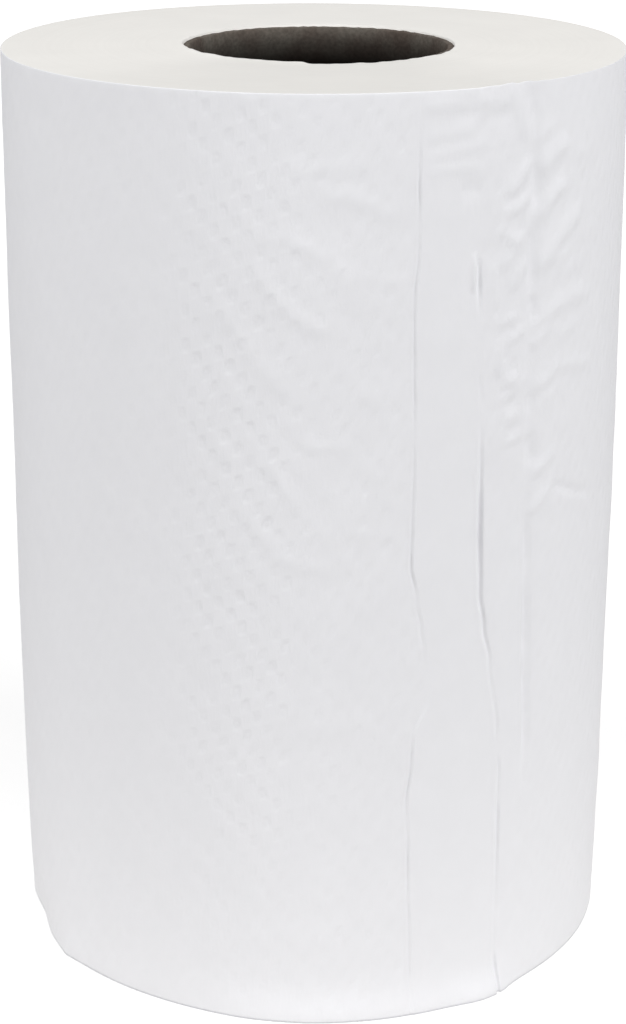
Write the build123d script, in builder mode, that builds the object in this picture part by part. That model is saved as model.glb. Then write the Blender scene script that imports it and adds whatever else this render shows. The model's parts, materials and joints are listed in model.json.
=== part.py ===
"""A hard-wound hand-towel roll: one long two-ply towel web on a paperboard tube, standing on end."""
import os

from build123d import *

# Driving dimensions, in millimetres and degrees.
roll_diameter = 135.0       # over the outermost turn
web_width = 200.0           # width of the towel web, so the height of the standing roll
core_bore = 55.5            # inside of the tube, where a spindle or a dispenser's peg goes
core_wall = 1.5             # paperboard wall of the tube
core_recess = 0.4           # each end of the tube lies this far inside the roll's end
core_offset = 0.9           # the web was wound a little out of true, so the tube is off centre
core_chamfer = 0.25         # broken corners where the tube was cut to length
plies = 2                   # layers of tissue in the web
ply_thickness = 0.18        # one embossed ply
rim_radius = 1.4            # soft outer corner round each end of the roll
rim_allowance = 0.05        # how far the rim's rounding form stands off the outermost turn

# The tail of the web, seen from above. Angles are anticlockwise from the front, which is -Y.
# The two plies parted at the cut, so the lower one shows as a bare strip beyond the upper one.
front_direction = -90.0     # the front, counted from +X
lower_ply_angle = 17.5      # cut edge of the lower ply
upper_ply_angle = 33.5      # cut edge of the upper ply

# Sizes that follow from the ones above.
roll_radius = roll_diameter / 2
core_outer_radius = core_bore / 2 + core_wall
core_length = web_width - 2 * core_recess
core_centre = (core_offset, 0)
tail_direction = front_direction + upper_ply_angle
bare_strip_sweep = upper_ply_angle - lower_ply_angle

# The outermost turn closes in by the thickness of the web. Four arcs make that spiral: each
# quarter's centre moves a little way towards the point where that quarter starts.
quarters = 4
quarter_turn = 360 / quarters
quarter_drop = plies * ply_thickness / quarters


def spiral_quarter(quarter):
    """Centre, radius and starting direction of one quarter of the outermost turn."""
    centre = Vector(0, 0)
    for later in range(1, quarter + 1):
        start_direction = tail_direction + later * quarter_turn
        centre += Vector(quarter_drop, 0).rotate(Axis.Z, start_direction)
    return centre, roll_radius - quarter * quarter_drop, tail_direction + quarter * quarter_turn


# Wound paper: every turn of the web as one solid, with the hole that the tube fills.
with BuildPart() as wound_paper:
    with BuildSketch() as turns:
        with BuildLine():
            full_quarters = [
                CenterArc(*spiral_quarter(quarter), quarter_turn) for quarter in range(quarters - 1)
            ]
            # The last quarter ends at the lower ply's edge, and one ply higher runs on as the
            # bare strip, up to the upper ply's edge.
            centre, radius, direction = spiral_quarter(quarters - 1)
            last_sweep = quarter_turn - bare_strip_sweep
            last_quarter = CenterArc(centre, radius, direction, last_sweep)
            strip_radius = radius + ply_thickness
            bare_strip = CenterArc(centre, strip_radius, direction + last_sweep, bare_strip_sweep)
            Line(last_quarter @ 1, bare_strip @ 0)
            Line(bare_strip @ 1, full_quarters[0] @ 0)
        make_face()
        with Locations(core_centre):
            Circle(core_outer_radius, mode=Mode.SUBTRACT)
    extrude(amount=web_width)
    # The rims are soft where the web's edges splay: the roll is cut to a round-cornered form.
    with BuildSketch(Plane.XZ) as rounding_form:
        form_radius = roll_radius + rim_allowance
        with Locations((0, web_width / 2)):
            RectangleRounded(2 * form_radius, web_width, rim_radius)
        with Locations((-form_radius, web_width / 2)):
            Rectangle(2 * form_radius, web_width, mode=Mode.SUBTRACT)
    revolve(axis=Axis.Z, mode=Mode.INTERSECT)
wound_paper.part.label = "wound_paper"

# Core tube: the first turn of the web is stuck to it, and it stops just short of both ends.
with BuildPart() as core_tube:
    with BuildSketch(Plane.XY.offset(core_recess)) as tube_section:
        with Locations(core_centre):
            Circle(core_outer_radius)
            Circle(core_bore / 2, mode=Mode.SUBTRACT)
    extrude(amount=core_length)
    chamfer(core_tube.edges().filter_by(GeomType.CIRCLE), length=core_chamfer)
core_tube.part.label = "core_tube"

os.makedirs("parts", exist_ok=True)
export_step(wound_paper.part, "parts/wound_paper.step")
export_step(core_tube.part, "parts/core_tube.step")
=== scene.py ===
import json
import random
from math import atan2, cos, degrees, exp, pi, radians, sin, tau

import bmesh
import bpy
from mathutils import Matrix, Vector, noise


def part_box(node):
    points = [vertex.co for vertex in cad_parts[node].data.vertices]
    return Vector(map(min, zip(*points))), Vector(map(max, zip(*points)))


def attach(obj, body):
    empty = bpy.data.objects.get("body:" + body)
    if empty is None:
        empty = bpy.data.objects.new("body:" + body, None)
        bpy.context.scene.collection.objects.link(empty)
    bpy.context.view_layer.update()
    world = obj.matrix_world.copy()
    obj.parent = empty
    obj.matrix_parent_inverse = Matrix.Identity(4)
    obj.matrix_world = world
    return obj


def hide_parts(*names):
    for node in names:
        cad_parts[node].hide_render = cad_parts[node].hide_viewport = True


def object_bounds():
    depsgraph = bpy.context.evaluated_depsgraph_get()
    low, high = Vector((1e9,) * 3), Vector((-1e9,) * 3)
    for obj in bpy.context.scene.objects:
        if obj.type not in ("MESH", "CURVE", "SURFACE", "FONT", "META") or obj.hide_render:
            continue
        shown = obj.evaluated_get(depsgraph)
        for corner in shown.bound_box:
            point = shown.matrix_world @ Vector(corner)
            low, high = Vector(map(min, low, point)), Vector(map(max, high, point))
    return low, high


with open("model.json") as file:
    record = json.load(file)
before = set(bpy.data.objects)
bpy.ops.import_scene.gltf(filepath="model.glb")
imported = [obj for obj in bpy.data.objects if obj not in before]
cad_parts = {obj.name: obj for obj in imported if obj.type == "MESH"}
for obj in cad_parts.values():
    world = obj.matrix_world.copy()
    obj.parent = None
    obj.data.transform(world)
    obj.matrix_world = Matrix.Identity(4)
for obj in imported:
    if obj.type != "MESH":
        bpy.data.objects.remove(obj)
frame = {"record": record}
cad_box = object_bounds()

MM = 0.001


# ---------------------------------------------------------------------------------------------
# Core tube: grey-brown paperboard wound as a spiral of glued plies round a mandrel, then sawn to
# length. The innermost ply's edges meet in a fine seam that climbs round the bore. The towel's
# first turn is stuck to the outside.

core_low, core_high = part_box("core_tube")
core_bore = next(mount for mount in frame["record"]["mounts"] if mount["name"] == "core_bore")
core_centre = Vector(core_bore["pos_m"][:2])
bore_radius = core_bore["dims"]["r_mm"] * MM
tube_radius = (core_high.x - core_low.x) / 2
SEAM_HALF_WIDTH = 0.35 * MM
SEAM_DEPTH = 0.3 * MM
SEAM_PITCH = 83 * MM          # climb in one turn, for a ply about 75 mm wide
SEAM_FOOT = radians(110)      # where the seam starts at the lower end, from +X
SAWN_CORNER = 0.25 * MM
SAWN_ROUGHNESS = 0.15 * MM    # how far down the bore the painted shade darkens the board from a touch pale to nearly black
BORE_SHADE_DEPTH = 9.5 * MM             # how far down the bore the saw's dust pales the board
TUBE_COLUMNS = 160
TUBE_STEPS = 60


def add_node(tree, kind, inputs=None, **settings):
    """Adds one node. An input given as a socket is linked, and anything else is its value."""
    node = tree.nodes.new("ShaderNode" + kind)
    for name, value in settings.items():
        setattr(node, name, value)
    for key, value in (inputs or {}).items():
        if isinstance(value, bpy.types.NodeSocket):
            tree.links.new(value, node.inputs[key])
        else:
            node.inputs[key].default_value = value
    return node


def linear(hex_colour):
    """An sRGB colour such as "E8E4DC" as linear RGBA."""
    channels = [int(hex_colour[i:i + 2], 16) / 255 for i in (0, 2, 4)]
    return [c / 12.92 if c <= 0.04045 else ((c + 0.055) / 1.055) ** 2.4 for c in channels] + [1]


def new_material(name):
    """An empty material and its node tree."""
    material = bpy.data.materials.new(name)
    material.use_nodes = True
    material.node_tree.nodes.clear()
    return material, material.node_tree


def next_ring(builder, ring):
    """Extrudes a closed ring of vertices in place, and returns the new ring in the same order."""
    edges = [builder.edges.get((ring[i - 1], ring[i])) for i in range(len(ring))]
    made = bmesh.ops.extrude_edge_only(builder, edges=edges)["geom"]
    by_place = {tuple(v.co): v for v in made if isinstance(v, bmesh.types.BMVert)}
    return [by_place[tuple(v.co)] for v in ring]


def smooth_object(name, builder, *materials):
    """Turns a bmesh into a smooth-shaded object at the origin."""
    mesh = bpy.data.meshes.new(name)
    builder.to_mesh(mesh)
    builder.free()
    mesh.shade_smooth()
    for material in materials:
        mesh.materials.append(material)
    piece = bpy.data.objects.new(name, mesh)
    bpy.context.collection.objects.link(piece)
    return piece


def core_tube_mesh():
    """One closed shell: up the bore, out over the sawn end, down the outside and back in."""
    builder = bmesh.new()
    circle = bmesh.ops.create_circle(builder, segments=TUBE_COLUMNS, radius=bore_radius)["verts"]
    ring = sorted(circle, key=lambda v: round(atan2(v.co.y, v.co.x) % tau, 4))
    wall = tube_radius - bore_radius
    # The columns stand evenly, apart from the first three, which make the seam.
    seam_angle = SEAM_HALF_WIDTH / bore_radius
    spacing = (tau - 2 * seam_angle) / (TUBE_COLUMNS - 2)
    angles = [0.0] + [seam_angle + spacing * i for i in range(TUBE_COLUMNS - 1)]

    def place(ring, radius, z, turn=0.0, seam=0.0, ragged=0.0):
        """Lays a ring of columns out, with the first one pushed out by the seam's depth."""
        for column, vert in enumerate(ring):
            angle = SEAM_FOOT + angles[column] + turn
            r = radius + (seam if column == 0 else 0)
            x, y = core_centre + r * Vector((cos(angle), sin(angle)))
            vert.co = x, y, z + ragged * noise.noise(Vector((x, y, z)) / (1.5 * MM))

    place(ring, bore_radius, core_low.z + SAWN_CORNER, 0, SEAM_DEPTH)
    climb = core_high.z - core_low.z - 2 * SAWN_CORNER
    for step in range(1, TUBE_STEPS + 1):
        ring = next_ring(builder, ring)
        rise = climb * step / TUBE_STEPS
        z = core_low.z + SAWN_CORNER + rise
        place(ring, bore_radius, z, rise / SEAM_PITCH * tau, SEAM_DEPTH)
    last_turn = climb / SEAM_PITCH * tau
    for out in (SAWN_CORNER, wall / 3, wall / 2, 2 * wall / 3, wall - SAWN_CORNER):
        ring = next_ring(builder, ring)
        place(ring, bore_radius + out, core_high.z, last_turn, ragged=SAWN_ROUGHNESS)
    # Down the outside the columns unwind again, so that the shell closes where it began.
    for step in range(TUBE_STEPS, -1, -1):
        ring = next_ring(builder, ring)
        rise = climb * step / TUBE_STEPS
        place(ring, tube_radius, core_low.z + SAWN_CORNER + rise, rise / SEAM_PITCH * tau)
    for out in (wall - SAWN_CORNER, wall / 2, SAWN_CORNER):
        ring = next_ring(builder, ring)
        place(ring, bore_radius + out, core_low.z)
    ring = next_ring(builder, ring)
    place(ring, bore_radius, core_low.z + SAWN_CORNER, 0, SEAM_DEPTH)
    bmesh.ops.remove_doubles(builder, verts=builder.verts, dist=0.001 * MM)
    bmesh.ops.recalc_face_normals(builder, faces=builder.faces)
    return builder


def greyboard():
    """Unprinted greyboard, pressed from mixed waste paper: mottled, flecked and quite dull."""
    material, tree = new_material("spiral_wound_greyboard")
    place = add_node(tree, "TexCoord").outputs["Object"]
    # Clouds of browner and greyer pulp, about 8 mm across, and flecks of under 1 mm.
    clouds = add_node(tree, "TexNoise", {"Vector": place, "Scale": 1 / (8 * MM), "Detail": 4})
    flecks = add_node(tree, "TexNoise", {"Vector": place, "Scale": 1 / (0.8 * MM), "Detail": 3})
    pulp = add_node(tree, "ValToRGB", {"Fac": clouds.outputs["Fac"]})
    brown, grey = pulp.color_ramp.elements
    brown.position, brown.color = 0.36, linear("59504A")
    grey.position, grey.color = 0.66, linear("6C6760")
    fleck_shade = add_node(tree, "MapRange", {"Value": flecks.outputs["Fac"], "From Min": 0.3,
                           "From Max": 0.7, "To Min": 0.8, "To Max": 1.15})
    colour = add_node(tree, "Mix", {0: 1, 6: pulp.outputs["Color"], 7: fleck_shade.outputs[0]},
                      data_type="RGBA", blend_type="MULTIPLY")
    # Painted shade down the bore: the board is a touch paler right at each end and darkens to nearly
    # black further in.
    height = add_node(tree, "SeparateXYZ", {0: place}).outputs["Z"]
    from_middle = add_node(tree, "Math", {0: height, 1: (core_low.z + core_high.z) / 2},
                           operation="SUBTRACT").outputs[0]
    from_middle = add_node(tree, "Math", {0: from_middle}, operation="ABSOLUTE").outputs[0]
    half_length = (core_high.z - core_low.z) / 2
    bore_shade = add_node(tree, "MapRange", {"Value": from_middle, "From Min": half_length - BORE_SHADE_DEPTH,
                       "From Max": half_length, "To Min": 0.08, "To Max": 1.05})
    bore_shade = add_node(tree, "Math", {0: bore_shade.outputs[0], 1: 2.0}, operation="POWER")
    colour = add_node(tree, "Mix", {0: 1, 6: colour.outputs[2], 7: bore_shade.outputs[0]},
                      data_type="RGBA", blend_type="MULTIPLY")
    bump = add_node(tree, "Bump", {"Height": flecks.outputs["Fac"], "Strength": 0.6,
                    "Distance": 0.15 * MM})
    board = add_node(tree, "BsdfPrincipled", {"Base Color": colour.outputs[2], "Roughness": 0.95,
                     "Specular IOR Level": 0.02, "Normal": bump.outputs["Normal"]})
    add_node(tree, "OutputMaterial", {"Surface": board.outputs[0]})
    return material


core_tube = smooth_object("core_tube_board", core_tube_mesh(), greyboard())
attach(core_tube, "root")
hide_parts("core_tube")


# ---------------------------------------------------------------------------------------------
# Wound paper: a white two-ply towel web, dot-embossed, wound hard on the tube and left with its
# loose tail against the side. The plies parted at the cut, so the lower one ends in a fine
# edge and the upper one in a lifted, gaping edge beside it, with a pressed strip between them.

paper_low, paper_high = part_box("wound_paper")
roll_radius = (paper_high.x - paper_low.x) / 2
web_width = paper_high.z - paper_low.z
circumference = tau * roll_radius
PLY = 0.18 * MM
RIM = 0.2 * MM                # rounding of the roll's rims
RIM_STEPS = 4
HOLE_RADIUS = tube_radius + 0.03 * MM     # a hair off the tube's outside
# How far in the rings across an end lie: 0 is the rim and 1 the hole.
END_RINGS = (0.012, 0.03, 0.08, 0.18, 0.32, 0.47, 0.62, 0.77, 0.89, 0.95, 0.98, 0.993, 1.0)
FINE_SPACING = 0.95 * MM      # of the mesh over the front half
COARSE_SPACING = 1.5 * MM     # and over the back half

# Places on the side are (along, up): millimetres round the outside from the front, to the right,
# and millimetres up from the lower end. The cut edges and the glue's valley wander as they go up,
# and each line below is a list of (up, along).
lower_ply_edge = [(0, 21.8), (16, 21.5), (30, 20.9), (40, 20.8), (50, 20.2), (60, 21.2),
                  (66, 21.4), (74, 24.3), (84, 23.6), (90, 22.8), (96, 21.7), (104, 20.4),
                  (127, 20.6), (160, 20.2), (168, 20.9), (200, 20.7)]
upper_ply_edge = [(0, 43.0), (20, 42.5), (54, 42.2), (64, 41.3), (80, 38.8), (88, 37.0),
                  (96, 35.8), (111, 35.4), (124, 35.2), (132, 35.0), (143, 34.7), (166, 33.5),
                  (200, 33.1)]
glue_valley = [(0, 50.5), (54, 49.8), (82, 49.0), (111, 47.8), (153, 47.4), (178, 47.8),
               (200, 46.8)]
EDGE_REST = (21.0, 36.0, 48.0)    # where the three lines lie on the evenly spaced columns

# How far each cut edge shows, up the roll: 0 is closed, 1 is open, and above 1 is wider still.
lower_ply_shows = [(0, 0.3), (6, 0.35), (12, 0.8), (28, 0.85), (36, 1.15), (47, 0.6), (54, 1.5),
                   (60, 1.1), (68, 0.6), (74, 0.1), (80, 0.0), (84, 0.3), (90, 0.85),
                   (96, 0.65), (105, 1.35), (114, 1.1), (128, 0.85), (132, 0.4), (138, 1.1),
                   (158, 1.1), (168, 1.0), (174, 0.5), (180, 1.3), (188, 0.9), (191, 0.3),
                   (200, 0.2)]
upper_ply_gapes = [(0, 0.5), (6, 0.5), (10, 0.12), (23, 0.1), (30, 0.22), (38, 0.34), (43, 0.42),
                   (47, 0.2), (54, 0.26), (59, 0.0), (65, 0.22), (72, 0.12), (78, 0.18),
                   (84, 0.32), (91, 0.42), (99, 0.5), (108, 0.68), (114, 0.62), (120, 0.38),
                   (126, 0.28), (131, 0.13), (134, 0.03), (140, 0.12), (144, 0.0), (154, 0.0),
                   (158, 0.2), (161, 0.4), (164, 0.35), (168, 0.0), (200, 0.0)]
# The valley's depth in mm, up the roll.
valley_depth = [(0, 0.05), (40, 0.1), (56, 0.5), (80, 0.75), (108, 0.8), (116, 0.5),
                (150, 0.6), (160, 0.8), (178, 0.75), (190, 0.5), (198, 0.3), (200, 0.1)]

# Sections across the cut edges in mm: (across, height) where the edge lies closed, then where it
# gapes. Heights are from the surface left of the edge, and a gaping edge hangs over its gap.
lower_ply_section = [((-1.2, 0.0), (-1.2, 0.0)), ((-0.8, 0.02), (-0.8, 0.06)),
                     ((-0.4, 0.05), (-0.52, -0.10)), ((0.0, 0.09), (-0.02, -0.10)),
                     ((0.4, 0.13), (0.25, 0.20)), ((0.8, 0.16), (0.6, 0.25)),
                     ((1.2, 0.18), (1.2, 0.18))]
upper_ply_section = [((-2.0, 0.0), (-2.0, 0.0)), ((-1.4, 0.01), (-1.4, 0.10)),
                     ((-0.9, 0.03), (-0.98, 0.30)), ((-0.5, 0.05), (-0.76, 0.26)),
                     ((-0.25, 0.07), (-0.58, -0.15)), ((-0.05, 0.09), (-0.36, -0.75)),
                     ((0.15, 0.10), (0.15, -1.1)), ((0.4, 0.12), (0.62, -0.8)),
                     ((0.7, 0.14), (0.76, -0.1)), ((1.0, 0.15), (0.68, 0.25)),
                     ((1.4, 0.16), (0.95, 0.42)), ((2.2, 0.18), (1.8, 0.42))]


def along_line(line, up):
    """A smoothed value from a line of (up, value) points."""
    for (up0, value0), (up1, value1) in zip(line, line[1:]):
        if up <= up1:
            share = max(0.0, (up - up0) / (up1 - up0))
            return value0 + (value1 - value0) * share * share * (3 - 2 * share)
    return line[-1][1]


def fade(distance, reach, power=2):
    """1 at no distance, and nearly 0 beyond the reach. A higher power fades more suddenly."""
    return exp(-abs(distance / reach) ** power)


def ramp(value, start, end):
    """0 up to the start, 1 from the end on, and even in between."""
    return min(1.0, max(0.0, (value - start) / (end - start)))


def wrinkle(points, height, half_width):
    """A ridge, or with a negative height a groove, along a bent line of three (along, up) points."""
    start, middle, end = (Vector(p) for p in points)
    stretches = 8
    path = []
    for i in range(stretches + 1):
        t = i / stretches
        path.append(start * (1 - t) ** 2 + middle * 2 * t * (1 - t) + end * t * t)
    reach = 2.5 * half_width
    low = Vector((min(p.x for p in path) - reach, min(p.y for p in path) - reach))
    high = Vector((max(p.x for p in path) + reach, max(p.y for p in path) + reach))
    return path, low, high, height, half_width


def wrinkle_height(fold, place):
    """What one wrinkle adds at a place: full along its middle, and nothing past its ends."""
    path, low, high, height, half_width = fold
    if not (low.x < place.x < high.x and low.y < place.y < high.y):
        return 0.0
    nearest, where = 1e9, 0.0
    for i in range(len(path) - 1):
        run = path[i + 1] - path[i]
        t = min(1.0, max(0.0, (place - path[i]).dot(run) / run.dot(run)))
        gap = (path[i] + run * t - place).length
        if gap < nearest:
            nearest, where = gap, (i + t) / (len(path) - 1)
    return height * fade(nearest, half_width) * min(1.0, 5.6 * where * (1 - where))


def towel_wrinkles():
    """Folds pulled into the outer turns by the tail, and slacker ones round the rest."""
    folds = [
        # Ridges that sag from the left towards the lower ply's edge.
        wrinkle([(-13, 168), (-6, 154), (6, 153.5)], 0.17, 1.6),
        wrinkle([(-20, 160), (-14, 149), (-3, 138)], 0.16, 1.5),
        wrinkle([(-10, 172), (3, 172), (9, 160)], 0.16, 1.5),
        wrinkle([(0, 181), (10, 181), (18, 174)], 0.17, 1.7),
        wrinkle([(-8, 187), (1, 184), (13, 187)], 0.10, 1.5),
        wrinkle([(-4, 131), (2, 129.5), (8, 130)], 0.12, 1.2),
        wrinkle([(-11, 128), (-6, 123), (-2, 114)], 0.14, 1.3),
        wrinkle([(-25, 138), (-20, 132), (-16, 125)], 0.10, 1.4),
        wrinkle([(-16, 118), (-12, 113), (-8, 108)], 0.12, 1.4),
        wrinkle([(-9, 108), (-2, 104), (5, 104)], 0.12, 1.6),
        wrinkle([(6, 113), (12, 110.5), (18, 111)], 0.10, 1.3),
        wrinkle([(8, 166), (13, 162), (19, 164)], 0.10, 1.2),
        wrinkle([(6, 142), (12, 139), (18, 140)], 0.08, 1.5),
        wrinkle([(8, 126), (13, 124), (19, 121)], 0.08, 1.5),
        wrinkle([(-3, 70), (4, 67), (12, 72)], 0.06, 2.0),
        wrinkle([(-30, 42), (-22, 34), (-12, 28)], 0.06, 2.2),
        wrinkle([(-4, 17), (3, 20), (8, 26)], 0.08, 1.6),
        # Ripples pressed across the bare strip near the top, and a small dimple in it.
        wrinkle([(21, 187), (29, 188), (38, 190)], 0.16, 1.0),
        wrinkle([(21, 184.5), (28, 185), (35, 184.5)], 0.16, 0.9),
        wrinkle([(21, 191.5), (27, 191.5), (33, 192)], 0.14, 0.9),
        wrinkle([(29, 180), (31.5, 180.5), (34.5, 180)], -0.22, 1.5),
        wrinkle([(22, 150), (29, 151), (34, 150)], 0.06, 2.4),
        # The rim over the tail is rumpled where it was handled.
        wrinkle([(21, 197.5), (25, 196.8), (30, 197.5)], 0.20, 1.0),
        wrinkle([(28, 195.2), (30, 194.8), (33, 195.4)], -0.22, 0.9),
        wrinkle([(32, 198), (36, 196.5), (41, 197.5)], 0.26, 1.4),
        wrinkle([(35, 194.4), (38, 193.8), (42, 194.6)], -0.14, 0.9),
        wrinkle([(41, 200), (43.5, 195.5), (44.5, 188)], 0.50, 1.1),
        # Puckers on the upper ply, between its edge and the glue valley.
        wrinkle([(41, 178), (43.5, 182), (46, 185)], 0.72, 1.0),
        wrinkle([(40, 174.5), (43, 175.5), (47, 178)], 0.51, 1.0),
        wrinkle([(40, 163), (42, 168), (45, 171)], 0.51, 1.2),
        wrinkle([(41, 159), (44, 162), (46, 165)], 0.40, 1.1),
        wrinkle([(37, 167), (37.5, 161), (37, 155)], 0.41, 0.8),
        wrinkle([(32.6, 168), (32.8, 164), (32.6, 160)], 0.47, 0.6),
        wrinkle([(38, 150), (39.5, 146), (39, 141)], 0.47, 1.0),
        wrinkle([(40, 141), (43, 139.5), (46, 141)], 0.47, 1.4),
        wrinkle([(40, 133), (43, 132), (46, 134)], 0.40, 1.3),
        wrinkle([(38.5, 172), (40.5, 170), (43, 168)], 0.44, 0.8),
        wrinkle([(38.5, 152), (41, 154), (44, 153)], 0.39, 0.8),
        wrinkle([(41, 148), (43.5, 150.5), (46, 150)], 0.44, 0.9),
        wrinkle([(39, 136.5), (42, 137), (45, 139)], 0.35, 0.8),
        wrinkle([(41, 127), (43.5, 128.5), (46, 128)], 0.35, 0.9),
        # Ridges that fan out from the valley, steep at the top and level lower down.
        wrinkle([(47.5, 187), (50, 191), (54, 192)], 0.26, 1.3),
        wrinkle([(48.8, 181), (52, 187), (59, 186.5)], 0.47, 1.6),
        wrinkle([(48, 171.5), (51, 177.5), (58, 179)], 0.56, 1.6),
        wrinkle([(50, 177.5), (52, 180), (55, 182)], -0.17, 0.8),
        wrinkle([(57, 184.5), (62, 184), (68, 184.5)], 0.15, 1.2),
        wrinkle([(48, 160.5), (52, 167), (65, 174)], 0.50, 1.8),
        wrinkle([(49, 150), (54, 156.5), (70, 154)], 0.38, 1.8),
        wrinkle([(47.5, 146), (50, 148), (53, 150)], 0.32, 1.1),
        wrinkle([(54, 146.5), (60, 149), (64, 148.5)], 0.20, 1.3),
        wrinkle([(48.5, 139), (53, 136.5), (57, 143.5)], 0.38, 1.5),
        wrinkle([(55, 141), (62, 140.5), (70, 138.5)], 0.29, 1.4),
        wrinkle([(49, 132), (52, 133.5), (56, 137)], 0.21, 1.4),
        wrinkle([(50, 165), (54, 162.5), (60, 165)], 0.20, 1.1),
        wrinkle([(57, 160), (61, 161), (67, 163)], 0.18, 1.2),
        wrinkle([(48.5, 119), (52, 119.5), (56, 124)], 0.50, 1.3),
        wrinkle([(48, 110.5), (51, 111.5), (55, 116.5)], 0.46, 1.1),
        wrinkle([(66, 168), (69, 168), (72, 166)], 0.15, 1.2),
        # The long level crease right of the valley, and sunk spots along the valley.
        wrinkle([(54, 116), (62, 112.6), (73, 108.5)], -0.45, 0.8),
        wrinkle([(55, 113.5), (63, 110.5), (74, 106.5)], 0.12, 1.3),
        wrinkle([(45, 199), (46.5, 196), (47.5, 192)], -0.40, 1.0),
        wrinkle([(47.4, 184), (48.2, 180), (49, 174)], -0.55, 1.1),
        wrinkle([(47.4, 171), (47.4, 166), (47.6, 159)], -0.60, 0.9),
        wrinkle([(48, 157), (48.6, 154), (49, 151.5)], -0.60, 1.0),
        wrinkle([(47.6, 137), (47.8, 134.5), (47.8, 132)], -0.45, 0.9),
        wrinkle([(47.8, 128), (48.6, 124.5), (49, 121)], -0.60, 1.3),
        wrinkle([(48, 108), (48.2, 103), (48.4, 97)], -0.50, 0.9),
        wrinkle([(48.5, 96), (49, 86), (49.2, 77)], -0.80, 0.8),
        wrinkle([(49, 79), (49.6, 66), (50.2, 54)], -0.70, 0.8),
        wrinkle([(46.6, 108), (47, 95), (47.4, 80)], 0.36, 0.8),
        wrinkle([(47.2, 84), (47.8, 72), (48.4, 58)], 0.30, 0.8),
        wrinkle([(50, 24), (52, 20), (54, 15)], 0.16, 1.2),
    ]
    # The back and sides have a few long slack folds.
    drape = random.Random(11)
    once_round = circumference / MM
    for i in range(26):
        start = Vector((drape.uniform(82, once_round - 48), drape.uniform(20, 180)))
        slope = drape.uniform(-0.9, 0.9)
        end = start + drape.uniform(16, 42) * Vector((cos(slope), sin(slope)))
        middle = (start + end) / 2 + Vector((0, drape.uniform(-5, 5)))
        height = drape.choice((-1, 1)) * drape.uniform(0.05, 0.14)
        half_width = drape.uniform(1.8, 3.2)
        # The mesh is cut at the back, so a fold there is laid down on both sides of the cut.
        for shift in (0, once_round):
            fold = [point - Vector((shift, 0)) for point in (start, middle, end)]
            folds.append(wrinkle(fold, height, half_width))
    return folds


def column_places():
    """Where the mesh's columns rest, in mm from the front, each with its cut-edge section if any."""
    half_way = circumference / MM / 2
    fine_half = half_way / 2
    places = []
    along = -half_way
    edge, slot, valley = EDGE_REST
    first, last = lower_ply_section[0][0][0], lower_ply_section[-1][0][0]
    kept_clear = [(edge + first, edge + last)]
    first, last = upper_ply_section[0][0][0], upper_ply_section[-1][0][0]
    kept_clear.append((slot + first, slot + last))
    while along < half_way - COARSE_SPACING / MM / 2:
        if not any(low - 0.4 < along < high + 0.4 for low, high in kept_clear):
            places.append((along, None, None))
        along += (FINE_SPACING if abs(along) < fine_half else COARSE_SPACING) / MM
    places += [(edge, i, None) for i in range(len(lower_ply_section))]
    places += [(slot, None, i) for i in range(len(upper_ply_section))]

    def order(place):
        """Keeps the columns of each cut edge's section together, in the section's own order."""
        rest, low, high = place
        if low is not None:
            return rest + lower_ply_section[0][0][0] + 0.01 * low
        if high is not None:
            return rest + upper_ply_section[0][0][0] + 0.01 * high
        return rest

    return sorted(places, key=order) + [(half_way, None, None)]


def row_places():
    """(up, inset) of the mesh's rows in mm: round one rim, up the side and round the other."""
    rim = RIM / MM
    width = web_width / MM
    turns = [pi / 2 * i / RIM_STEPS for i in range(RIM_STEPS)]
    lower = [(rim * (1 - cos(turn)), rim * (1 - sin(turn))) for turn in turns]
    upper = [(width - up, inset) for up, inset in reversed(lower)]
    straight = round((width - 2 * rim) / (FINE_SPACING / MM))
    side = [(rim + (width - 2 * rim) * i / straight, 0.0) for i in range(straight + 1)]
    return lower + side + upper


def follow_lines(rest, up):
    """Moves a column from where it rests to where the cut edges and the valley lie at this height."""
    edge, slot, valley = EDGE_REST
    lower_clear = lower_ply_section[-1][0][0] + 0.4
    slot_left = upper_ply_section[0][0][0] - 0.4
    slot_right = upper_ply_section[-1][0][0] + 0.4
    edge_there = along_line(lower_ply_edge, up)
    slot_there = along_line(upper_ply_edge, up)
    stops = [(-20.0, -20.0), (edge - lower_clear, edge_there - lower_clear),
             (edge + lower_clear, edge_there + lower_clear),
             (slot + slot_left, slot_there + slot_left),
             (slot + slot_right, slot_there + slot_right),
             (valley, along_line(glue_valley, up)), (78.0, 78.0)]
    for (rest0, there0), (rest1, there1) in zip(stops, stops[1:]):
        if rest0 <= rest <= rest1:
            return there0 + (there1 - there0) * (rest - rest0) / (rest1 - rest0)
    return rest


def rim_lift(along):
    """How far the upper rim stands up where the tail's corner was handled."""
    ruffle = 0.7 + 0.3 * sin(1.3 * along) + 0.5 * noise.noise(Vector((along / 1.6, 0, 4)))
    return 0.42 * MM * fade(along - 42, 7, 4) * ruffle


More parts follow.
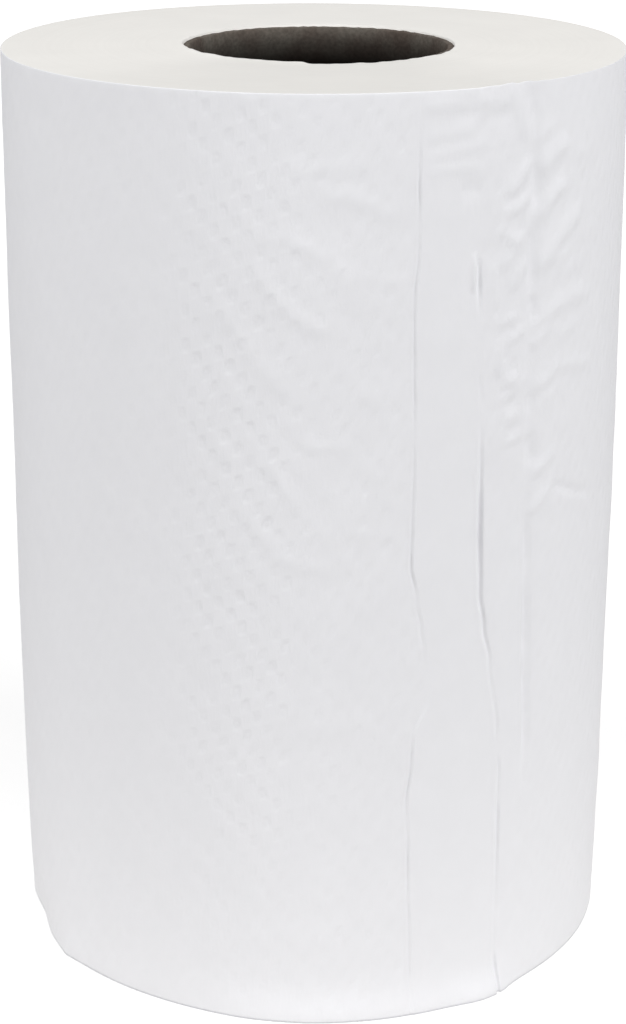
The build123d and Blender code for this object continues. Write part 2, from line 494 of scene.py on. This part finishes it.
def ply_place(column, up):
    """Where a vertex lies along, and its height in mm from the outermost turn's outside."""
    rest, low_index, high_index = column
    slot = along_line(upper_ply_edge, up)
    gape = along_line(upper_ply_gapes, up)
    ply = PLY / MM
    if low_index is not None:
        shows = along_line(lower_ply_shows, up) * (1 + 0.3 * noise.noise(Vector((0, 5, up / 4))))
        closed, gaping = (Vector(state) for state in lower_ply_section[low_index])
        across, step = closed.lerp(gaping, shows)
        along = along_line(lower_ply_edge, up) + across
        height = step - 2 * ply
    elif high_index is not None:
        closed, gaping = (Vector(state) for state in upper_ply_section[high_index])
        across, step = closed.lerp(gaping, gape)
        along = slot + across
        height = step - ply
    else:
        along = follow_lines(rest, up)
        # The spiral: the outermost turn closes in by two plies on its way round to the tail.
        turned = ((along - slot) / (circumference / MM)) % 1.0
        bare_strip = along_line(lower_ply_edge, up) <= along < slot
        height = -ply if bare_strip else -2 * ply * turned
        # The upper ply stands off beside its gaping edge.
        if slot < along:
            height += 0.36 * gape * fade(along - slot - 1.5, 1.6)
    # The glue holds the upper ply down in the valley.
    valley = along_line(glue_valley, up)
    reach = 2.2 if along < valley else 1.8
    return along, height - along_line(valley_depth, up) * fade(along - valley, reach, 1)


def bareness(along, up):
    """1 on the bare strip of the lower ply, 0 off it, and in between beside its edges."""
    from_left = along - along_line(lower_ply_edge, up)
    from_right = along_line(upper_ply_edge, up) - along
    return ramp(from_left, -1, 0.5) * ramp(from_right, -1, 0.5)


def emboss_left(along, up):
    """How much of the emboss is left: crisp left of the front, and soft to the sides and back."""
    top_gap = web_width / MM - up
    crisp = fade(along + 16, 12, 4) * ramp(up, 0, 90) * (1 - 0.3 * fade(top_gap, 30, 1))
    soft = 0.35 + 0.15 * ramp(along, -10, 10)
    near_valley = fade(along - along_line(glue_valley, up) + 4, 5)
    emboss = soft + (1 - soft) * crisp
    emboss *= (1 - 0.85 * bareness(along, up)) * (1 - 0.5 * near_valley)
    # It is bunched up where the upper ply puckers.
    emboss += 0.5 * fade(along - 42.5, 4.5, 4) * fade(up - 153, 32, 4)
    return emboss + (0.5 - emboss) * ramp(abs(along), 70, 100)


def swells(along, up):
    """Slow swells of the roll, dents in its slack outer turns, and a hair of belly half way up."""
    angle = along / (roll_radius / MM)
    # Noise is read on a cylinder of about the roll's size, so that it meets itself at the back.
    spot = Vector((sin(angle) * 67, -cos(angle) * 67, up))
    slow = 0.22 * noise.noise(spot / 45 + Vector((3.1, 0, 7.7)))
    slack = 1.2 + fade(along - 45, 35) * ramp(up, 0, 120) + 0.4 * fade(along - 6, 14)
    slack *= 1 - 0.7 * bareness(along, up)
    dents = 0.07 * noise.noise(spot / 14) + 0.035 * noise.noise(spot / 5.5)
    return slow + slack * dents + 0.5 * sin(pi * up * MM / web_width)


def rim_knocks(bearing, up):
    """What handling did to the rims, at so many degrees to the right of the front."""
    # The lower rim is knocked in at the left, with a corner bulging beside the knock.
    knock = -1.5 * fade(bearing + 73, 8) * fade(up, 7.5)
    corner = 1.2 * fade(bearing + 55, 5, 1) * fade(up, 5)
    # Its front is splayed a little, mostly at the foot of the upper ply's edge.
    splay = 1.4 * fade(bearing - 10, 28, 4) * fade(up, 5) + 1.7 * fade(bearing - 34, 6) * fade(up, 4)
    # The upper rim is drawn in on the right.
    drawn_in = -0.45 * fade(bearing - 86, 26) * fade(web_width / MM - up, 16, 1)
    return knock + corner + splay + drawn_in


def side_point(column, row, folds):
    """The place of one vertex of the side, and how much of the emboss is left there."""
    up, inset = row
    along, height = ply_place(column, up)
    angle = along / (roll_radius / MM)
    emboss = emboss_left(along, up)
    for fold in folds:
        height += wrinkle_height(fold, Vector((along, up)))
    height += swells(along, up) + rim_knocks(degrees(angle), up)
    top_gap = web_width / MM - up
    if top_gap < RIM / MM and angle < radians(150):
        # On the right the upper rim is creased almost square, and elsewhere it is rounded.
        square = 1 - 0.7 * ramp(degrees(angle), 28, 42)
        inset *= square
        top_gap *= square
    radius = roll_radius + (height - inset) * MM
    z = paper_high.z - top_gap * MM + rim_lift(along) * fade(top_gap, 2.5, 1)
    return Vector((radius * sin(angle), -radius * cos(angle), z)), along, emboss


def upper_face(share, place):
    """The turns stand a little unevenly, and the first few are proud at the front left."""
    wave = 0.10 * noise.noise(Vector((place.x, place.y, 0)) / (22 * MM))
    radial = (place - core_centre).length / MM
    wave += 0.05 * noise.noise(Vector((radial / 1.7, 0.5, 0)))
    wave *= ramp(share, 0, 0.125)
    bearing = degrees(atan2(place.x - core_centre.x, -(place.y - core_centre.y)))
    proud = fade(max(0, bearing + 7), 2.5) * fade(max(0, -75 - bearing), 12)
    near_hole = fade(radial - HOLE_RADIUS / MM, 1.3)
    ragged = 0.14 * noise.noise(Vector((place.x, place.y, 3)) / (2.2 * MM))
    wave += near_hole * (0.42 * proud + ragged - 0.05)
    return wave * MM


def lower_face(share, place):
    """The roll's own weight has pressed the lower end almost flat."""
    swell = 1 + noise.noise(Vector((place.x, place.y, 9)) / (20 * MM))
    return 0.04 * MM * swell * ramp(share, 0, 0.125)


def close_end(builder, ring, z, face_height):
    """Rings across a cut end, from the rim in to the tube's hole. Returns the last of them."""
    outer = [Vector(v.co.xy) for v in ring]
    lifts = [v.co.z - z for v in ring]
    for share in END_RINGS:
        ring = next_ring(builder, ring)
        for vert, start, lift in zip(ring, outer, lifts):
            outward = (start - core_centre).normalized()
            x, y = start.lerp(core_centre + outward * HOLE_RADIUS, share)
            height = face_height(share, Vector((x, y))) + lift * fade(share, 0.035, 1)
            vert.co = x, y, z + height
    return ring


def wound_paper_mesh():
    """The side is a grid rolled into a tube. Each end is closed inwards, ring by ring, to the tube."""
    folds = towel_wrinkles()
    columns = column_places()
    rows = row_places()
    builder = bmesh.new()
    uv_layer = builder.loops.layers.uv.new("wrap")
    emboss_layer = builder.verts.layers.float.new("emboss")
    bmesh.ops.create_grid(builder, x_segments=len(columns) - 1, y_segments=len(rows) - 1, size=0.5)
    builder.verts.ensure_lookup_table()
    unrolled = {}
    for index, vert in enumerate(builder.verts):
        row, column = divmod(index, len(columns))
        place, along, emboss = side_point(columns[column], rows[row], folds)
        vert.co = place
        vert[emboss_layer] = emboss
        unrolled[vert] = (along * MM / circumference + 0.5, rows[row][0] * MM)
    for face in builder.faces:
        for loop in face.loops:
            loop[uv_layer].uv = unrolled[loop.vert]
    # The first and last columns meet at the back, and each end closes inwards from its rim.
    count = len(columns)
    last_row = count * (len(rows) - 1)
    lower_rim = [builder.verts[i] for i in range(count - 1)]
    upper_rim = [builder.verts[last_row + i] for i in range(count - 1)]
    pairs = {builder.verts[r * count + count - 1]: builder.verts[r * count]
             for r in range(len(rows))}
    bmesh.ops.weld_verts(builder, targetmap=pairs)
    side_faces = set(builder.faces)
    lower_lip = close_end(builder, lower_rim, paper_low.z, lower_face)
    upper_lip = close_end(builder, upper_rim, paper_high.z, upper_face)
    # The hole's wall runs down from the upper lip to the lower one.
    ring = upper_lip
    for z in (paper_high.z - 3 * MM, paper_low.z + 3 * MM):
        ring = next_ring(builder, ring)
        for vert, lip in zip(ring, upper_lip):
            vert.co = lip.co.x, lip.co.y, z
    ring = next_ring(builder, ring)
    for vert, lip in zip(ring, lower_lip):
        vert.co = lip.co
    bmesh.ops.weld_verts(builder, targetmap=dict(zip(ring, lower_lip)))
    for face in builder.faces:
        face.material_index = 0 if face in side_faces else 1
    bmesh.ops.recalc_face_normals(builder, faces=builder.faces)
    return builder


def embossed_tissue():
    """Bleached two-ply tissue, creped and dot-embossed: soft white, no gloss, faintly ribbed."""
    material, tree = new_material("embossed_towel_tissue")
    place = add_node(tree, "TexCoord").outputs["Object"]
    wrap = add_node(tree, "UVMap", uv_map="wrap").outputs["UV"]
    # The emboss roll's pits stand in slanting rows, 3.5 mm apart along a row and 4.9 mm between
    # rows. Whole numbers of pits go round, so that the pattern meets itself at the back.
    sway = add_node(tree, "TexNoise", {"Vector": place, "Scale": 1 / (16 * MM), "Detail": 1})
    waves = []
    for pits_round, pits_up in ((111, -154.5), (66, 131.2)):
        phase = add_node(tree, "VectorMath", {0: wrap, 1: (pits_round, pits_up, 0)},
                         operation="DOT_PRODUCT")
        phase = add_node(tree, "Math", {0: sway.outputs["Fac"], 1: 0.9, 2: phase.outputs["Value"]},
                         operation="MULTIPLY_ADD")
        phase = add_node(tree, "Math", {0: phase.outputs[0], 1: tau}, operation="MULTIPLY")
        waves.append(add_node(tree, "Math", {0: phase.outputs[0]}, operation="COSINE"))
    pits = add_node(tree, "Math", {0: waves[0].outputs[0], 1: waves[1].outputs[0]}, operation="ADD")
    pits = add_node(tree, "MapRange", {"Value": pits.outputs[0], "From Min": -0.3, "From Max": 1.9},
                    interpolation_type="SMOOTHSTEP")
    # Their depth varies from patch to patch, and they are pressed out where the tail was stuck.
    patches = add_node(tree, "TexNoise", {"Vector": place, "Scale": 1 / (6 * MM), "Detail": 3})
    depth = add_node(tree, "MapRange", {"Value": patches.outputs["Fac"], "From Min": 0.35,
                     "From Max": 0.65, "To Min": 0.25, "To Max": 1.0})
    kept = add_node(tree, "Attribute", attribute_name="emboss")
    depth = add_node(tree, "Math", {0: depth.outputs[0], 1: kept.outputs["Fac"]},
                     operation="MULTIPLY")
    pits = add_node(tree, "Math", {0: pits.outputs[0], 1: depth.outputs[0]}, operation="MULTIPLY")
    # Creping leaves fine ribs along the roll. They are a few millimetres long and closer than
    # can be seen, so they are drawn about 0.8 mm apart.
    stretch = add_node(tree, "Mapping", {"Vector": place, "Scale": (1, 1, 0.3)})
    crepe = add_node(tree, "TexNoise", {"Vector": stretch.outputs[0], "Scale": 1 / (0.8 * MM),
                     "Detail": 2})
    crepe = add_node(tree, "Math", {0: crepe.outputs["Fac"], 1: 0.3}, operation="MULTIPLY")
    relief = add_node(tree, "Math", {0: crepe.outputs[0], 1: pits.outputs[0]},
                      operation="SUBTRACT")
    bump = add_node(tree, "Bump", {"Height": relief.outputs[0], "Strength": 1.0,
                    "Distance": 0.13 * MM})
    # The pulp is very slightly uneven in whiteness, and painted shade makes the pits a touch greyer.
    tone = add_node(tree, "MapRange", {"Value": patches.outputs["Fac"], "From Min": 0.3,
                    "From Max": 0.7, "To Min": 0.985, "To Max": 1.0})
    grey = add_node(tree, "MapRange", {"Value": pits.outputs[0], "To Min": 1.0, "To Max": 0.978})
    shade = add_node(tree, "Math", {0: tone.outputs[0], 1: grey.outputs[0]}, operation="MULTIPLY")
    colour = add_node(tree, "Mix", {0: 1, 6: linear("EEEEF1"), 7: shade.outputs[0]},
                      data_type="RGBA", blend_type="MULTIPLY")
    tissue = add_node(tree, "BsdfPrincipled", {"Base Color": colour.outputs[2], "Roughness": 0.95,
                      "Specular IOR Level": 0.15, "Sheen Weight": 0.05,
                      "Normal": bump.outputs["Normal"]})
    add_node(tree, "OutputMaterial", {"Surface": tissue.outputs[0]})
    return material


def cut_tissue():
    """The sawn ends of some three hundred turns: warm white, matt, with hair-fine rings."""
    material, tree = new_material("sawn_tissue_turns")
    place = add_node(tree, "TexCoord").outputs["Object"]
    centred = add_node(tree, "Mapping", {"Vector": place, "Location": (-core_centre.x, 0, 0),
                       "Scale": (1, 1, 0)})
    radial = add_node(tree, "VectorMath", {0: centred.outputs[0]}, operation="LENGTH")
    # The turns are 0.2 mm apart, too fine to show, so the rings drawn are bands of several turns.
    band = add_node(tree, "Math", {0: radial.outputs["Value"], 1: 1.1 * MM}, operation="DIVIDE")
    rings = add_node(tree, "TexNoise", {"W": band.outputs[0], "Scale": 1.0, "Detail": 3},
                     noise_dimensions="1D")
    dust = add_node(tree, "TexNoise", {"Vector": place, "Scale": 1 / (1.2 * MM), "Detail": 3})
    blotch = add_node(tree, "TexNoise", {"Vector": place, "Scale": 1 / (14 * MM), "Detail": 2})
    relief = add_node(tree, "Math", {0: rings.outputs["Fac"], 1: 1.2, 2: dust.outputs["Fac"]},
                      operation="MULTIPLY_ADD")
    bump = add_node(tree, "Bump", {"Height": relief.outputs[0], "Strength": 0.5,
                    "Distance": 0.06 * MM})
    tone = add_node(tree, "MapRange", {"Value": blotch.outputs["Fac"], "From Min": 0.3,
                    "From Max": 0.7, "To Min": 0.975, "To Max": 1.0})
    bands = add_node(tree, "MapRange", {"Value": rings.outputs["Fac"], "From Min": 0.3,
                     "From Max": 0.7, "To Min": 0.985, "To Max": 1.0})
    tone = add_node(tree, "Math", {0: tone.outputs[0], 1: bands.outputs[0]}, operation="MULTIPLY")
    # Painted shade: the turns are a little greyer towards the front of each end.
    outward = add_node(tree, "VectorMath", {0: centred.outputs[0]}, operation="NORMALIZE")
    outward = add_node(tree, "SeparateXYZ", {0: outward.outputs[0]})
    front_shade = add_node(tree, "MapRange", {"Value": outward.outputs["Y"], "From Min": -1.0,
                       "From Max": -0.5, "To Min": 0.905, "To Max": 1.0},
                       interpolation_type="SMOOTHSTEP")
    tone = add_node(tree, "Math", {0: tone.outputs[0], 1: front_shade.outputs[0]}, operation="MULTIPLY")
    colour = add_node(tree, "Mix", {0: 1, 6: linear("EFEDE9"), 7: tone.outputs[0]},
                      data_type="RGBA", blend_type="MULTIPLY")
    ends = add_node(tree, "BsdfPrincipled", {"Base Color": colour.outputs[2], "Roughness": 0.95,
                    "Specular IOR Level": 0.15, "Normal": bump.outputs["Normal"]})
    add_node(tree, "OutputMaterial", {"Surface": ends.outputs[0]})
    return material


wound_paper = smooth_object("wound_towel_web", wound_paper_mesh(), embossed_tissue(), cut_tissue())
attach(wound_paper, "root")
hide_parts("wound_paper")


# ---------------------------------------------------------------------------------------------
# Studio: a pale sweep that the roll stands on, three soft boxes high at the left, right and front,
# a weak light from all round, a faint one back off the sweep, and the camera, which looks slightly
# down at the roll from close by.


def seen_directly(tree):
    """1 where a ray comes straight from the camera, or by a mirror or glass, and 0 for light."""
    path = add_node(tree, "LightPath")
    seen = add_node(tree, "Math", {0: path.outputs["Is Camera Ray"],
                    1: path.outputs["Is Glossy Ray"]}, operation="MAXIMUM")
    return add_node(tree, "Math", {0: seen.outputs[0], 1: path.outputs["Is Transmission Ray"]},
                    operation="MAXIMUM").outputs[0]


def floor_material():
    """A pale painted sweep, which keeps the roll's shadow."""
    material, tree = new_material("pale_studio_sweep")
    place = add_node(tree, "TexCoord").outputs["Object"]
    away = add_node(tree, "VectorMath", {0: place}, operation="LENGTH")
    # The sweep is lit from further off too, which keeps it white where the soft boxes fall short.
    lift = add_node(tree, "MapRange", {"Value": away.outputs["Value"], "From Min": 0.15,
                    "From Max": 1.2, "To Min": 0.64, "To Max": 0.97},
                    interpolation_type="SMOOTHSTEP")
    lift = add_node(tree, "Math", {0: lift.outputs[0], 1: seen_directly(tree)},
                    operation="MULTIPLY")
    paint = add_node(tree, "BsdfDiffuse", {"Color": linear("BFBFBF")})
    glow = add_node(tree, "Emission", {"Color": linear("FFFFFF"), "Strength": lift.outputs[0]})
    both = add_node(tree, "AddShader", {0: paint.outputs[0], 1: glow.outputs[0]})
    add_node(tree, "OutputMaterial", {"Surface": both.outputs[0]})
    return material


floor_builder = bmesh.new()
bmesh.ops.create_grid(floor_builder, x_segments=1, y_segments=1, size=4.0,
                      matrix=Matrix.Translation((0, 0, cad_box[0].z)))
floor = smooth_object("floor", floor_builder, floor_material())

AMBIENT = 0.28                # light from all round, against 1 where the white is seen directly
world = bpy.data.worlds.new("soft_surround")
world.use_nodes = True
world.node_tree.nodes.clear()
surround = add_node(world.node_tree, "MapRange", {"Value": seen_directly(world.node_tree),
                    "To Min": AMBIENT, "To Max": 1.0})
background = add_node(world.node_tree, "Background", {"Color": linear("FFFFFF"),
                      "Strength": surround.outputs[0]})
add_node(world.node_tree, "OutputWorld", {"Surface": background.outputs[0]})
bpy.context.scene.world = world


def soft_box(name, size, place, aim, power):
    """A square soft light at a place, facing another."""
    light = bpy.data.lights.new(name, "AREA")
    light.shape = "SQUARE"
    light.size = size
    light.energy = power
    lamp = bpy.data.objects.new(name, light)
    facing = (Vector(place) - Vector(aim)).to_track_quat("Z", "Y").to_matrix().to_4x4()
    lamp.matrix_world = Matrix.Translation(place) @ facing
    lamp.visible_camera = False
    bpy.context.collection.objects.link(lamp)


def round_the_roll(direction, elevation, distance):
    """A place round the roll's middle: direction in degrees to the right of the front."""
    out = distance * cos(radians(elevation))
    side, front = out * sin(radians(direction)), -out * cos(radians(direction))
    return side, front, web_width / 2 + distance * sin(radians(elevation))


roll_middle = Vector((0, 0, web_width / 2))
BOX_DISTANCE = 1.6            # from the roll's middle
soft_box("left_soft_box", 0.86, round_the_roll(-62, 38, BOX_DISTANCE), roll_middle, 11.9)
soft_box("right_soft_box", 0.74, round_the_roll(58, 38, BOX_DISTANCE), roll_middle, 12.5)
soft_box("front_soft_box", 0.86, round_the_roll(10, 48, BOX_DISTANCE), roll_middle, 4.8)

# Light coming back up off the sweep round the roll's foot.
bounce = bpy.data.lights.new("foot_bounce", "AREA")
bounce.shape = "DISK"
bounce.size = 0.34
bounce.energy = 0.105
bounce.color = linear("FFFBF4")[:3]
bounce_lamp = bpy.data.objects.new("foot_bounce", bounce)
bounce_lamp.matrix_world = Matrix.Translation((0, 0, 0.5 * MM)) @ Matrix.Rotation(pi, 4, "X")
bounce_lamp.visible_camera = False
bpy.context.collection.objects.link(bounce_lamp)

camera_data = bpy.data.cameras.new("camera")
camera_data.sensor_width = 36
camera_data.lens = 84.03
camera_data.clip_start = 0.01
CAMERA_DISTANCE = 0.5191      # from the roll's axis
CAMERA_OVER_TOP = 0.074       # above the roll's upper end
LOOK_DOWN = 0.3354            # radians below level
ROLL_OF_CAMERA = 0.0031       # radians, a hair off upright
camera = bpy.data.objects.new("camera", camera_data)
camera.matrix_world = (Matrix.Translation((0, -CAMERA_DISTANCE, paper_high.z + CAMERA_OVER_TOP))
                       @ Matrix.Rotation(pi / 2 - LOOK_DOWN, 4, "X")
                       @ Matrix.Rotation(ROLL_OF_CAMERA, 4, "Z"))
bpy.context.collection.objects.link(camera)
bpy.context.scene.camera = camera
bpy.context.scene.view_settings.view_transform = "Standard"
